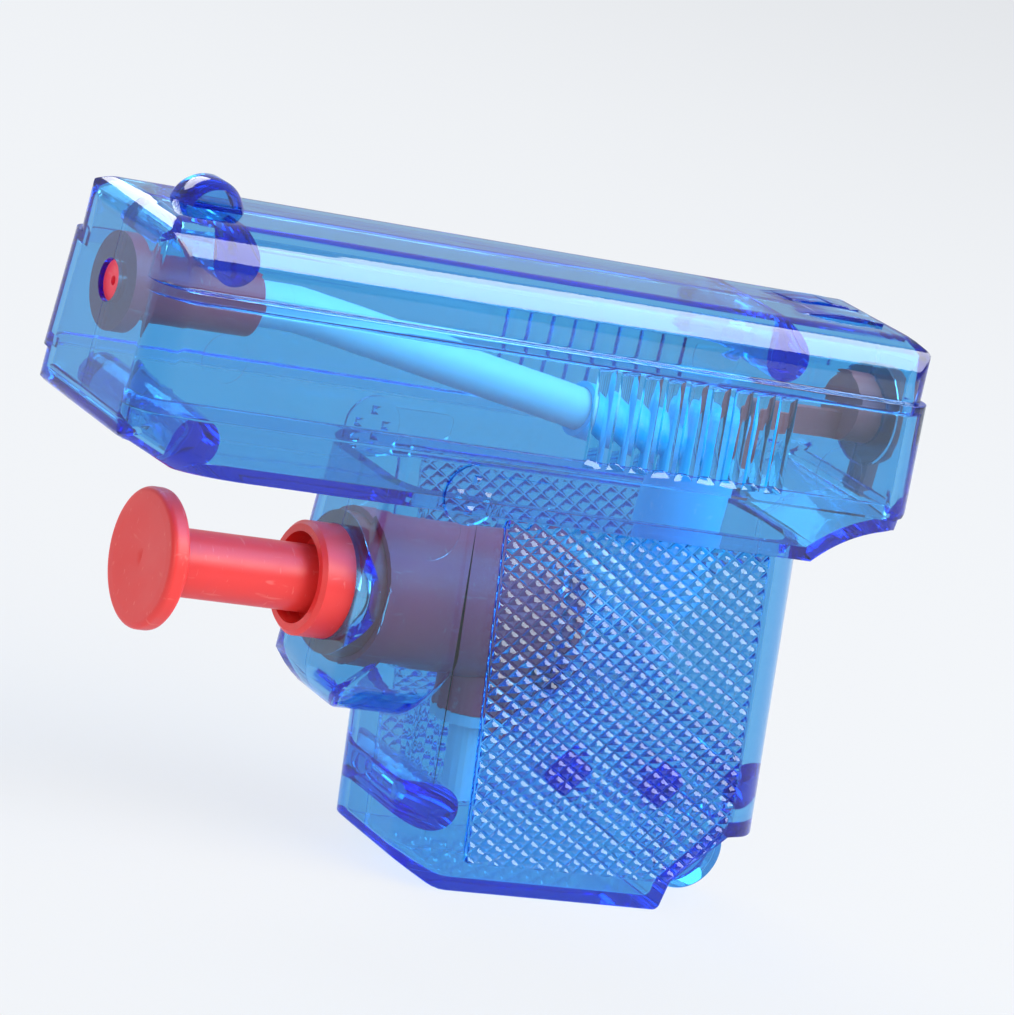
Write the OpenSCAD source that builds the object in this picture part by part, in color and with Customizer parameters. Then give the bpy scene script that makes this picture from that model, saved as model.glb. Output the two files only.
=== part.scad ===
// Mini water squirter: a pocket toy in the outline of a small pistol, moulded as two
// clear halves that are the water tank, with a push plunger, a piston pump, two ball
// valves and a filler plug inside them.
// Lengths are millimetres. The outline is laid out from the muzzle face (x = 0) and from
// the line between slide and frame (z = 0); at the end everything is moved so that the
// grip stands on z = 0 and the middle of the length is at x = 0.

/* [Slide] */
// Length of the slide from the muzzle face to the rear face at its foot
slide_len = 86; // [80:0.5:92]
// Width over the raised side panels at their foot
panel_w = 23.4; // [22.8:0.2:25]
// Draft of the side panels in degrees
panel_draft = 3; // [1.5:0.5:3.5]
// Height of the raised side panels
panel_h = 11.5; // [11:0.25:13]
// Width of the arched top
crown_w = 20; // [18:0.25:21]
// Height of the arched top above the side panels
crown_h = 5.9; // [5:0.1:7]
// Radius of the two shoulders of the arched top
shoulder_r = 5.4; // [4:0.1:5.5]
// Backward lean of the rear face in degrees
rear_lean = 4; // [2:0.5:6]
// Radius of the upright corners of the slide
corner_r = 3; // [2:0.25:4]
// Rise of the crown from its edges to its ridge
crown_rise = 0.9; // [0.6:0.1:1.2]

/* [Frame] */
// Width of the frame below the slide
frame_w = 21.8; // [20.6:0.2:21.8]
// Height of the frame below the slide
frame_h = 5.4; // [4.5:0.1:6.5]
// Height of the lip under the muzzle
lip_h = 3.4; // [2.5:0.1:4]
// Distance from the muzzle face to the foot of the slanted lip
lip_run = 6.4; // [5:0.2:8]
// Radius of the hollow under the rear overhang
tang_r = 8.7; // [7:0.1:9.5]

/* [Grip] */
// Height from the frame line down to the foot of the grip
grip_drop = 43; // [41:0.5:46]
// Width of the grip
grip_w = 18.6; // [18.2:0.1:20]
// Length of the grip from front to back, square to its slope
grip_len = 40; // [38:0.25:41]
// Distance from the muzzle to the front edge of the grip at the frame line
grip_start = 35.6; // [34.5:0.1:36]
// Backward slope of the grip in degrees
grip_slope = 8.5; // [6:0.5:9.5]
// Radius of the upright corners of the grip
grip_corner_r = 4.5; // [3:0.25:5]
// Height of the raised checkered panel over the grip
check_h = 0.3; // [0.2:0.05:0.4]

/* [Pump boss] */
// Distance from the muzzle to the front face of the boss
boss_x = 30.4; // [29.5:0.1:31]
// Width of the boss
boss_w = 17.6; // [17.6:0.1:18.2]
// Radius of the upright front corners of the boss
boss_corner_r = 3.4; // [2:0.1:4]
// Depth of the boss below the frame line
boss_drop = 28.4; // [27.5:0.1:29.5]
// Depth of the pump axis below the frame line
pump_z = 16.5; // [16.2:0.05:16.8]

/* [Walls] */
// Wall of the two halves
wall = 1.2; // [1:0.05:1.3]
// Diameter of the locating bosses between the halves
boss_d = 4.8; // [4.4:0.1:5]
// Diameter of the locating pins
pin_d = 2; // [1.6:0.1:2.4]
// Length of a locating pin beyond the joint face
pin_len = 2.6; // [2:0.1:3]
// Thickness of the cradle ribs inside
rib_t = 1.2; // [1:0.1:1.6]

/* [Cocking grooves] */
// Number of grooves on each side
groove_n = 9; // [7:1:9]
// Spacing of the grooves
groove_pitch = 2.58; // [2.3:0.02:2.6]
// Width of one groove
groove_w = 0.8; // [0.5:0.05:1]
// Lean of the grooves in degrees
groove_lean = 5; // [3:0.5:7]

/* [Sights] */
// Radius of the round front sight
sight_r = 3.4; // [3:0.1:3.6]
// Thickness of the front sight
sight_w = 4.6; // [4:0.1:5]
// Height of the low rear sight
rear_sight_h = 0.45; // [0.3:0.05:0.6]

/* [Nozzle] */
// Depth of the nozzle axis below the top of the side panels
nozzle_drop = 2.5; // [2.2:0.1:2.9]
// Diameter of the round window in the muzzle face
window_d = 4; // [3.6:0.1:4.4]
// Diameter of the nozzle barrel
barrel_d = 6.4; // [6:0.1:6.6]
// Length of the nozzle barrel behind the muzzle face
barrel_len = 14.3; // [13:0.1:15]
// Diameter of the jet hole
jet_d = 0.9; // [0.7:0.05:1.1]

/* [Tubes] */
// Outer diameter of the soft tubes
tube_d = 4.2; // [3.8:0.1:4.4]
// Bore of the soft tubes
tube_bore = 3; // [2.8:0.1:3.1]
// Fall of the delivery tube in degrees
tube_fall = 9; // [7.5:0.25:9.5]
// Length of the suction tube
suction_len = 8; // [7:0.25:10]

/* [Pump] */
// Outer diameter of the pump cylinder
cyl_d = 14.6; // [14:0.1:14.7]
// Bore of the pump cylinder
cyl_bore = 11.8; // [11.4:0.1:11.9]
// Distance from the muzzle to the mouth of the cylinder
cyl_x = 33; // [32.9:0.05:33.2]
// Travel of the plunger
stroke = 9; // [7.5:0.25:9.5]

/* [Plunger] */
// Diameter of the push disc
disc_d = 13.4; // [12:0.1:14.5]
// Thickness of the push disc
disc_t = 1.9; // [1.6:0.1:2.4]
// Distance from the muzzle to the front of the push disc
disc_x = 10.3; // [9:0.1:11]
// Diameter of the plunger rod
rod_d = 6.5; // [6:0.1:6.8]
// Length of the piston
piston_len = 3.3; // [3.2:0.1:3.5]
// Diameter of the gland collar
collar_d = 11; // [10.4:0.1:11.2]
// Length of the gland collar in front of the boss
collar_out = 3.4; // [2.6:0.1:3.8]

/* [Return spring] */
// Diameter of the spring wire
wire_d = 0.7; // [0.5:0.05:0.75]
// Number of active coils
coil_n = 5; // [4:1:6]
// Mean diameter of the coils
coil_d = 8.6; // [8:0.1:8.8]

/* [Valves] */
// Diameter of the valve balls
ball_d = 3; // [2.8:0.1:3]
// Lift of the valve balls off their seats
ball_lift = 0.8; // [0.6:0.05:1]
// Tilt of the inlet valve and suction tube in degrees
inlet_tilt = 6; // [4:0.5:7]

/* [Outlet connector] */
// Distance from the muzzle to the axis of the upright limb
limb_x = 66.5; // [66:0.1:67]
// Diameter of the upright limb
limb_d = 8.6; // [8:0.1:8.8]
// Height of the limb's top above the frame line
limb_top = 7.2; // [6.5:0.1:8]
// Distance from the muzzle to the front of the level sleeve
sleeve_x = 52; // [50:0.5:54]
// Diameter of the sleeve
sleeve_d = 5.5; // [5.3:0.1:6]

/* [Filler plug] */
// Depth of the plug axis below the top of the side panels
plug_drop = 3.5; // [3.2:0.1:3.9]
// Diameter of the plug stem in the rear wall
plug_d = 6.6; // [6:0.1:6.8]
// Diameter of the plug head
plug_head_d = 10.4; // [9.6:0.1:10.6]
// Length of the captive strap inside
strap_len = 8.2; // [7.4:0.1:8.6]

/* [Lanyard lug] */
// Outer diameter of the lug
lug_d = 8.4; // [8:0.1:8.8]
// Diameter of the hole for the cord
lug_hole_d = 4; // [3.5:0.1:4.4]
// Thickness of the lug over both halves
lug_w = 4.4; // [4:0.1:5]

/* [Clearances] */
// Radial running clearance of sliding round parts
run_gap = 0.03; // [0.02:0.01:0.05]
// Radial clearance of fixed round parts in their seats
seat_gap = 0.05; // [0.02:0.01:0.08]
// Clearance between flat faces that stay together
face_gap = 0.05; // [0.02:0.01:0.1]

/* [Hidden] */
$fn = 48;

eps = 0.01;
far = 120;
half_panel = panel_w / 2;
half_crown = crown_w / 2;
half_frame = frame_w / 2;
half_grip = grip_w / 2;
crest_z = panel_h + crown_h;
nozzle_z = panel_h - nozzle_drop;
plug_z = panel_h - plug_drop;
rear_top_x = slide_len - crest_z * tan(rear_lean);
plug_out = 2.8;
plug_seat_x = slide_len - (plug_z + plug_head_d / 2) * tan(rear_lean) - face_gap;
total_len = plug_seat_x + plug_out;
blue = [0.25, 0.6, 0.9, 0.55];
red = [0.86, 0.16, 0.14];
milky = [0.85, 0.92, 0.95, 0.6];
cyan = [0.1, 0.66, 0.9];
steel = [0.72, 0.74, 0.76];
black = [0.12, 0.12, 0.13];

// Shapes of the grip and of its checkered panel seen from the side, as x from the front
// edge and height over the foot, with the radius of each corner beside them.
foot_line = [[-8, grip_drop + 1], [-0.8, 6], [11, 0], [35.6, 0], [35.9, 3], [41.2, 8.3],
             [52, 8.3], [52, grip_drop + 1]];
foot_round = [0, 3, 5, 0.8, 0, 0, 0, 0];
check_line = [[6.3, grip_drop - frame_h], [12.1, 3], [35.4, 3], [40.4, 8], [40.8, 12],
              [36.5, grip_drop - frame_h]];
check_round = [0.8, 2, 0.3, 0.3, 0.3, 0.8];
lug_x = grip_start + 41.8;
lug_z = -grip_drop + lug_d / 2;
lever_x = 36.3;
lever_z = -3.2;
lever_proud = 0.3;
sight_x = 7.8;
groove_x = 48.2;
groove_depth = 0.5;

// Pump, along x
collar_spigot = 2;
collar_bore_r = rod_d / 2 + run_gap;
flange_t = 2.4;
flange_r = cyl_d / 2 + 0.2;
collar_flange_r = cyl_d / 2 - 0.4;
collar_sink = 0.1;
piston_x = cyl_x + collar_spigot + 0.2;
piston_r = cyl_bore / 2 - 0.35;
seal_r = 0.8;
seal_back = 1.65;
seal_groove_r = cyl_bore / 2 - run_gap - 2 * seal_r - seat_gap;
end_coils = 1;
turns = coil_n + 2 * end_coils;
chamber_end = piston_x + piston_len + stroke + turns * wire_d + 0.1;
end_wall = 2;
cyl_end = chamber_end + end_wall;
socket_len = 2.4;
socket_r = 2.1;

// Valves: distances from the pump axis along the tilted inlet axis, heights at the outlet
inlet_back = 4.3;
inlet_sleeve = 3.5;
seat_wall = 1;
outlet_rise = 3.3;
outlet_grip = 3;
port_r = 0.9;
seat_h = 1.1;
valve_r = 2.9;
cage_r = ball_d / 2 + 0.35;
// Height of a ball's centre above the narrow end of the conical seat that it rests on
seat_angle = atan((cage_r - port_r) / seat_h);
ball_rest = ball_d / 2 / sin(seat_angle) - port_r / tan(seat_angle);
ball_gap = 0.03;
cage_h = ball_rest + ball_d / 2 + ball_lift + 0.1;
inlet_x = chamber_end - inlet_back;
valve_head = cyl_bore / 2 + 1;
valve_seat = valve_head + cage_h;
valve_foot = valve_head + inlet_sleeve;
valve_flange = valve_seat + seat_wall;
spigot_r = tube_bore / 2 - 0.02;
spigot_len = 3.4;
outlet_seat_z = -pump_z + outlet_rise;
cage_top_z = outlet_seat_z + cage_h;

// Outline helpers: a convex outline is a list of points [x, z], listed clockwise or
// anticlockwise, and inset() moves every edge inwards by t.
function cross2(a, b) = a[0] * b[1] - a[1] * b[0];
function turn(p) = let (n = len(p)) sum([for (i = [0:n - 1]) cross2(p[i], p[(i + 1) % n])]);
function sum(v, i = 0) = i < len(v) ? v[i] + sum(v, i + 1) : 0;
function unit(v) = v / norm(v);
function inset(p, t) =
    let (n = len(p), s = turn(p) > 0 ? 1 : -1)
    [for (i = [0:n - 1])
        let (a = unit(p[i] - p[(i + n - 1) % n]),
             b = unit(p[(i + 1) % n] - p[i]),
             na = s * [-a[1], a[0]],
             nb = s * [-b[1], b[0]])
        p[i] + t * (na + nb) / (1 + na * nb)];
// Rounds corner i of an outline with radius r[i], in arcs of about 11 degrees a step.
function rounded(p, r) =
    let (n = len(p))
    [for (i = [0:n - 1])
        let (a = unit(p[(i + n - 1) % n] - p[i]),
             b = unit(p[(i + 1) % n] - p[i]),
             half = acos(a * b) / 2,
             c = p[i] + unit(a + b) * r[i] / sin(half),
             s = p[i] + a * r[i] / tan(half) - c,
             e = p[i] + b * r[i] / tan(half) - c,
             side = cross2(s, e) > 0 ? 1 : -1,
             span = 180 - 2 * half,
             steps = max(1, ceil(span / 11.25)))
        each r[i] < 0.02 ? [p[i]] :
            [for (k = [0:steps])
                let (g = side * span * k / steps)
                c + [s[0] * cos(g) - s[1] * sin(g), s[0] * sin(g) + s[1] * cos(g)]]];

// Moves the outline's frame to the stand frame.
module placed() {
    translate([-total_len / 2, 0, grip_drop]) children();
}
// Extrudes an outline in x and z across the width.
module across(w) {
    translate([0, w / 2, 0]) rotate([90, 0, 0]) linear_extrude(w) children();
}
// Extrudes an outline in y and z along the length.
module along(len) {
    rotate([90, 0, 90]) linear_extrude(len) children();
}
// A cylinder along x, with the pump and nozzle pieces in mind.
module rod_x(x0, x1, r, z = 0) {
    translate([x0, 0, z]) rotate([0, 90, 0]) cylinder(h = x1 - x0, r = r);
}

// Plan of the slide: straight sides and two rounded corners at x = t.
module front_plan(t, half, r) {
    polygon(rounded([[t, -half], [far, -half], [far, half], [t, half]], [r, 0, 0, r]));
}
// A prism over a plan that is turned about, so that its corners are at the leaning rear.
module leaned() {
    translate([slide_len, 0, 0]) rotate([0, -rear_lean, 0]) mirror([1, 0, 0])
        translate([0, 0, -20]) linear_extrude(60) children();
}
// Near side of the side panels: both corners and the side lean inwards by the draft.
module panel_side(t) {
    half = half_panel - t;
    plan = rounded([[t, -half], [far, -half], [far, far], [t, far]], [corner_r - t / 2, 0, 0, 0]);
    translate([0, -half, 0]) rotate([-panel_draft, 0, 0]) translate([0, half, 0])
        intersection() {
            translate([0, 0, -20]) linear_extrude(60) polygon(plan);
            leaned() polygon(plan);
        }
}

// Outer form of the body, drawn in by t for the hollow inside.
module slide_form(t) {
    side = [[0, -1], [0, crest_z], [rear_top_x, crest_z], [slide_len + tan(rear_lean), -1]];
    top_r = [0, 1.8 - t / 2, 1.8 - t / 2, 0];
    edge_r = corner_r - t / 2;
    half_c = half_crown - t;
    shoulder = shoulder_r - t;
    ridge_r = 14;
    section = [[-half_c, -1], [-half_c, crest_z - crown_rise - t], [0, crest_z - t],
               [half_c, crest_z - crown_rise - t], [half_c, -1]];
    intersection() {
        panel_side(t);
        mirror([0, 1, 0]) panel_side(t);
        translate([-1, -panel_w, t]) cube([far, 2 * panel_w, panel_h - 2 * t]);
    }
    intersection() {
        across(panel_w) polygon(rounded(inset(side, t), top_r));
        along(slide_len + 1) polygon(rounded(section, [0, shoulder, ridge_r, shoulder, 0]));
        translate([0, 0, -1]) linear_extrude(crest_z + 2) front_plan(t, half_c, edge_r);
        leaned() front_plan(t, half_c, edge_r);
        translate([-1, -panel_w, t]) cube([far, 2 * panel_w, crest_z]);
    }
}
module frame_form(t) {
    half_f = half_frame - t;
    edge_r = corner_r - t / 2;
    side = [[0, 3], [0, -lip_h], [1.6, -lip_h], [lip_run, -frame_h],
            [slide_len, -frame_h], [slide_len, 3]];
    intersection() {
        difference() {
            across(frame_w + 2) polygon(rounded(inset(side, t), [0, 1.2, 1, 1.6, 0, 0]));
            translate([slide_len + 0.5, 0, -tang_r - 1.1]) rotate([90, 0, 0])
                cylinder(h = frame_w + 4, r = tang_r + t, center = true, $fn = 72);
        }
        translate([0, 0, -frame_h - 1]) linear_extrude(frame_h + 4)
            polygon(rounded([[t, -half_f], [slide_len - t, -half_f],
                [slide_len - t, half_f], [t, half_f]], [edge_r, edge_r, edge_r, edge_r]));
        translate([-1, -frame_w, -frame_h - 1])
            cube([far, 2 * frame_w, frame_h + 1 + (t > 0 ? t + 0.5 : 0)]);
    }
}
module grip_form(t) {
    half_g = half_grip - t;
    edge_r = grip_corner_r - t / 2;
    intersection() {
        translate([grip_start, 0, 0]) rotate([0, -grip_slope, 0]) translate([t, 0, -60])
            linear_extrude(64)
            polygon(rounded([[0, -half_g], [grip_len - 2 * t, -half_g],
                [grip_len - 2 * t, half_g], [0, half_g]], [edge_r, edge_r, edge_r, edge_r]));
        translate([grip_start, 0, -grip_drop]) across(grip_w + 2)
            polygon(rounded(inset(foot_line, t), foot_round));
    }
}
module boss_form(t) {
    r = boss_w / 2 - t;
    depth = 14;
    edge_r = boss_corner_r - t / 2;
    low = -boss_drop + boss_w / 2;
    x0 = boss_x + t;
    intersection() {
        translate([x0, 0, 0]) along(depth) union() {
            translate([0, low]) circle(r = r, $fn = 72);
            translate([-r, low]) square([2 * r, -low - 2]);
        }
        translate([0, 0, -boss_drop - 1]) linear_extrude(boss_drop)
            polygon(rounded([[x0, -r], [x0 + 2 * depth, -r], [x0 + 2 * depth, r], [x0, r]],
                [edge_r, 0, 0, edge_r]));
        across(boss_w + 2) polygon(rounded([[x0, 0], [x0, -boss_drop + t],
            [x0 + 2 * depth, -boss_drop + t], [x0 + 2 * depth, 0]], [0, 2.2 - t / 2, 0, 0]));
    }
}
module lug_form() {
    translate([lug_x, 0, lug_z]) rotate([90, 0, 0])
        cylinder(h = lug_w, d = lug_d, center = true);
}
module sights() {
    intersection() {
        translate([sight_x, 0, crest_z - 0.8]) sphere(r = sight_r + 0.15);
        translate([sight_x, 0, crest_z - 0.8]) across(sight_w) circle(r = sight_r);
        translate([0, -sight_w, crest_z - 1]) cube([20, 2 * sight_w, 6]);
    }
    difference() {
        across(9) polygon(rounded([[66.5, crest_z - 1], [67.2, crest_z + rear_sight_h],
            [79, crest_z + rear_sight_h], [82.3, crest_z - 0.4], [82, crest_z - 1]],
            [0, 0.4, 4, 0, 0]));
        translate([60, -0.7, crest_z + 0.05]) cube([30, 1.4, 2]);
    }
}

// Safety lever, checkered panel and cocking grooves of the near side.
module lever_relief() {
    sunk = 0.5;
    stud_h = half_panel - half_frame - lever_proud - 0.2;
    translate([lever_x, -half_frame + sunk, lever_z]) rotate([90, 0, 0])
        cylinder(h = sunk + lever_proud, r = 2.6);
    translate([lever_x, -half_frame + sunk, lever_z]) rotate([90, 0, 0])
        linear_extrude(sunk + lever_proud - 0.1)
        polygon(rounded([[0, -1.4], [9.9, -2], [10.5, -0.4], [0, 1.4]], [0, 0.5, 0.5, 0]));
    for (i = [-1, 1], k = [-1, 1])
        translate([lever_x + i * 0.8, -half_frame - lever_proud + 0.1, lever_z + k * 0.8])
            rotate([90, 0, 0]) linear_extrude(stud_h + 0.1, scale = 0.3)
            square(1.1, center = true);
}
module check_panel() {
    sunk = 0.2;
    translate([grip_start, -half_grip + sunk, -grip_drop]) rotate([90, 0, 0])
        linear_extrude(check_h + sunk) polygon(rounded(check_line, check_round));
}
module cocking_grooves() {
    above_foot = 0.7;
    groove_h = panel_h - above_foot - 0.9;
    for (i = [0:groove_n - 1])
        translate([groove_x + i * groove_pitch, -half_panel, 0])
            rotate([-panel_draft, -groove_lean, 0]) translate([0, 0, above_foot])
            linear_extrude(groove_h) polygon([[-groove_w / 2, -eps], [0, groove_depth],
                [groove_w / 2, -eps]]);
}

// One clear half: the outer form less the hollow, cut at the middle, with its locating
// bosses, cradle ribs and the openings for nozzle, gland and filler plug.
boss_at = [[sight_x - 0.4, -2.4], [sight_x - 0.4, crest_z - 2.9], [69, crest_z - 3.4],
           [grip_start + 8, -grip_drop + 7.8], [grip_start + 21.4, -grip_drop + 13],
           [grip_start + 32, -grip_drop + 12.8], [grip_start + 41.8, -grip_drop + 13.4]];
module body_form(t) {
    slide_form(t);
    frame_form(t);
    grip_form(t);
    boss_form(t);
}
module half_space(side) {
    translate([-10, side > 0 ? 0 : -40, -60]) cube([110, 40, 100]);
}
module cradle(x, z, reach) {
    translate([x, -half_panel, z - reach]) cube([rib_t, panel_w, 2 * reach]);
}
module boss_rod(d, x, z) {
    translate([x, 0, z]) rotate([90, 0, 0]) cylinder(h = panel_w + 2, d = d, center = true);
}
module inner_features() {
    difference() {
        union() {
            for (p = boss_at) boss_rod(boss_d, p[0], p[1]);
            cradle(barrel_len - 2.4, nozzle_z, 2);
            cradle(cyl_x + 8, -pump_z, cyl_d / 2 - 1.5);
            cradle(cyl_end - 2.5, -pump_z, cyl_d / 2 - 1.5);
        }
        rod_x(0, barrel_len, barrel_d / 2 + seat_gap, nozzle_z);
        rod_x(cyl_x, cyl_end, cyl_d / 2 + seat_gap, -pump_z);
    }
}
module shell(side) {
    difference() {
        intersection() {
            union() {
                difference() {
                    union() {
                        body_form(0);
                        sights();
                    }
                    body_form(wall);
                }
                intersection() {
                    body_form(wall - 0.1);
                    inner_features();
                }
                difference() {
                    lug_form();
                    body_form(wall / 2);
                }
                for (m = [0, 1]) mirror([0, m, 0]) {
                    lever_relief();
                    check_panel();
                }
            }
            half_space(side);
        }
        for (m = [0, 1]) mirror([0, m, 0]) cocking_grooves();
        rod_x(-1, wall + 1, window_d / 2, nozzle_z);
        rod_x(boss_x - 1, boss_x + wall + 1, collar_d / 2 + seat_gap, -pump_z);
        rod_x(boss_x + wall - collar_sink, cyl_x + 0.5, collar_flange_r + seat_gap, -pump_z);
        rod_x(cyl_x, cyl_x + flange_t + 0.1, flange_r + seat_gap, -pump_z);
        rod_x(slide_len - 5, slide_len + 1, plug_d / 2 + seat_gap, plug_z);
        rod_x(plug_seat_x - face_gap, slide_len + 2, plug_head_d / 2 + 0.2, plug_z);
        boss_rod(lug_hole_d, lug_x, lug_z);
        if (side < 0) for (p = boss_at) translate([p[0], 0, p[1]]) rotate([90, 0, 0])
            translate([0, 0, -1]) cylinder(h = pin_len + 1.6, d = pin_d + 2 * seat_gap);
    }
    if (side > 0) for (p = boss_at) translate([p[0], 0.5, p[1]]) rotate([90, 0, 0])
        cylinder(h = pin_len + 0.5, d = pin_d);
}
module left_shell() {
    color(blue) placed() shell(-1);
}
module right_shell() {
    color(blue) placed() shell(1);
}

// Nozzle barrel: nose in the window, flange behind the muzzle wall, jet hole and a spigot
// that the delivery tube is pushed on.
module nozzle_barrel() {
    nose_x = 0.5;
    flange_end = wall + 1.6;
    color(red) placed() difference() {
        union() {
            rod_x(nose_x, wall + 1, window_d / 2 - seat_gap, nozzle_z);
            rod_x(wall + face_gap, flange_end, barrel_d / 2 + 1.4, nozzle_z);
            rod_x(flange_end - eps, barrel_len, barrel_d / 2, nozzle_z);
            rod_x(barrel_len - eps, barrel_len + spigot_len, spigot_r, nozzle_z);
        }
        rod_x(0, flange_end, jet_d / 2, nozzle_z);
        rod_x(flange_end - 0.3, barrel_len + spigot_len + 1, port_r, nozzle_z);
    }
}

// Delivery tube: level over the nozzle's spigot, one soft bend, then a straight fall along
// the slide into the connector's sleeve. The sleeve lies on the same falling line.
tube_level = 3.5;
tube_soft_r = 20;
tube_x0 = barrel_len + 0.1;
fall_x = tube_x0 + tube_level + tube_soft_r * sin(tube_fall);
fall_z = nozzle_z - tube_soft_r * (1 - cos(tube_fall));
sleeve_in = 4;
sleeve_at = (sleeve_x - fall_x) / cos(tube_fall);
module on_fall(distance) {
    translate([fall_x, 0, fall_z]) rotate([0, 90 + tube_fall, 0]) translate([0, 0, distance])
        children();
}
module tube_turn(bend, angle, r) {
    reach = 2 * (bend + r);
    translate([0, 0, -bend]) rotate([90, 0, 0]) intersection() {
        rotate_extrude($fn = 96) translate([bend, 0]) circle(r = r, $fn = 32);
        translate([0, 0, -2 * r]) linear_extrude(4 * r)
            polygon([[0, 0], [0, reach], [reach * sin(angle / 2), reach * cos(angle / 2)],
                [reach * sin(angle), reach * cos(angle)]]);
    }
}
module delivery_path(r, over) {
    lap = 0.3;
    translate([tube_x0 - over, 0, nozzle_z]) rotate([0, 90, 0])
        cylinder(h = tube_level + over + lap, r = r, $fn = 32);
    translate([tube_x0 + tube_level, 0, nozzle_z]) tube_turn(tube_soft_r, tube_fall, r + 0.02);
    on_fall(-lap) cylinder(h = sleeve_at + sleeve_in - face_gap + lap + over, r = r, $fn = 32);
}
module delivery_tube() {
    color(milky) placed() difference() {
        delivery_path(tube_d / 2, 0);
        delivery_path(tube_bore / 2, 1);
    }
}

// Pump cylinder: flange and open mouth in front, end wall with the outlet socket behind
// and a side boss for the inlet valve below.
module inlet_axis() {
    translate([inlet_x, 0, -pump_z]) rotate([0, -inlet_tilt, 0]) children();
}
module pump_cylinder() {
    boss_h = 4.4;
    color(red) placed() difference() {
        union() {
            rod_x(cyl_x + face_gap, cyl_x + flange_t, flange_r, -pump_z);
            rod_x(cyl_x + flange_t - 0.1, cyl_end, cyl_d / 2, -pump_z);
            inlet_axis() translate([0, 0, -valve_foot])
                cylinder(h = boss_h, r = valve_r + 0.8);
            rod_x(cyl_end - 0.5, cyl_end + socket_len, socket_r + 1.4, -pump_z);
        }
        rod_x(cyl_x, chamber_end, cyl_bore / 2, -pump_z);
        inlet_axis() translate([0, 0, -valve_head - 1]) cylinder(h = valve_head, r = port_r);
        inlet_axis() translate([0, 0, -valve_foot - 1])
            cylinder(h = valve_foot + 1 - valve_head + face_gap, r = valve_r + seat_gap);
        rod_x(chamber_end - 1, cyl_end + 1, port_r, -pump_z);
        rod_x(cyl_end + 0.4 - face_gap, cyl_end + socket_len + 1, socket_r + seat_gap, -pump_z);
    }
}

// Gland collar: a bush through the hole in the boss, its flange held between the wall and
// the cylinder, its spigot in the bore and a deep counterbore round the rod.
module gland_collar() {
    x0 = boss_x - collar_out;
    bevel = 0.4;
    color(red) placed() difference() {
        union() {
            translate([0, 0, -pump_z]) rotate([0, 90, 0]) translate([0, 0, x0]) {
                cylinder(h = bevel + eps, d1 = collar_d - 2 * bevel, d2 = collar_d);
                translate([0, 0, bevel]) cylinder(h = boss_x + wall - x0, d = collar_d);
            }
            rod_x(boss_x + wall - collar_sink + face_gap, cyl_x, collar_flange_r, -pump_z);
            rod_x(cyl_x - eps, cyl_x + collar_spigot, cyl_bore / 2 - seat_gap, -pump_z);
        }
        rod_x(x0 - 1, x0 + 2.4, rod_d / 2 + 1.15, -pump_z);
        rod_x(x0, cyl_x + collar_spigot + 1, collar_bore_r, -pump_z);
    }
}

// Plunger: push disc, rod and grooved piston in one moulding, with a stub inside the spring.
module plunger() {
    disc_r = disc_d / 2;
    front_r = 0.6;
    back_r = 0.5;
    stub_r = coil_d / 2 - wire_d;
    stub_x = piston_x + piston_len + 1.2;
    groove_half = seal_r + seat_gap;
    color(red) placed() translate([0, 0, -pump_z]) rotate([0, 90, 0]) rotate_extrude($fn = 72)
        polygon(concat(
            [[0, disc_x + 0.25], [disc_r - 1.4, disc_x]],
            [for (g = [0:15:90]) [disc_r - front_r + front_r * sin(g),
                disc_x + front_r - front_r * cos(g)]],
            [for (g = [0:30:90]) [disc_r - back_r + back_r * cos(g),
                disc_x + disc_t - back_r + back_r * sin(g)]],
            [[rod_d / 2 + 0.5, disc_x + disc_t], [rod_d / 2, disc_x + disc_t + 0.5],
             [rod_d / 2, piston_x], [piston_r, piston_x],
             [piston_r, piston_x + seal_back - groove_half],
             [seal_groove_r, piston_x + seal_back - groove_half],
             [seal_groove_r, piston_x + seal_back + groove_half],
             [piston_r, piston_x + seal_back + groove_half],
             [piston_r, piston_x + piston_len], [stub_r, piston_x + piston_len],
             [stub_r - 0.4, stub_x], [0, stub_x]]));
}
module piston_seal() {
    color(black) placed() translate([piston_x + seal_back, 0, -pump_z]) rotate([0, 90, 0])
        rotate_extrude($fn = 72) translate([cyl_bore / 2 - run_gap - seal_r, 0])
        circle(r = seal_r, $fn = 24);
}

// Return spring: one wire wound round the pump axis, its end coils close together and its
// two ends straight for one wire diameter.
spring_gap = 0.02;
spring_x0 = piston_x + piston_len + spring_gap;
spring_len = chamber_end - spring_x0 - spring_gap;
rings_per_coil = 8;
ring_n = turns * rings_per_coil;
end_pitch = wire_d + 0.45;
mid_pitch = (spring_len - wire_d - 2 * end_coils * end_pitch) / coil_n;
function spring_rise(t) =
    t < end_coils ? end_pitch * t :
    t > turns - end_coils ? spring_len - wire_d - end_pitch * (turns - t) :
    end_pitch * end_coils + mid_pitch * (t - end_coils);
function spring_point(i) =
    let (t = i / rings_per_coil)
    [coil_d / 2 * cos(360 * t), coil_d / 2 * sin(360 * t), wire_d / 2 + spring_rise(t)];
path = concat([spring_point(0) + [0, -wire_d, 0]], [for (i = [0:ring_n]) spring_point(i)],
    [spring_point(ring_n) + [0, wire_d, 0]]);
function path_dir(i) =
    i == 0 ? unit(path[1] - path[0]) :
    i == len(path) - 1 ? unit(path[i] - path[i - 1]) :
    unit(unit(path[i + 1] - path[i]) + unit(path[i] - path[i - 1]));
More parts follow.
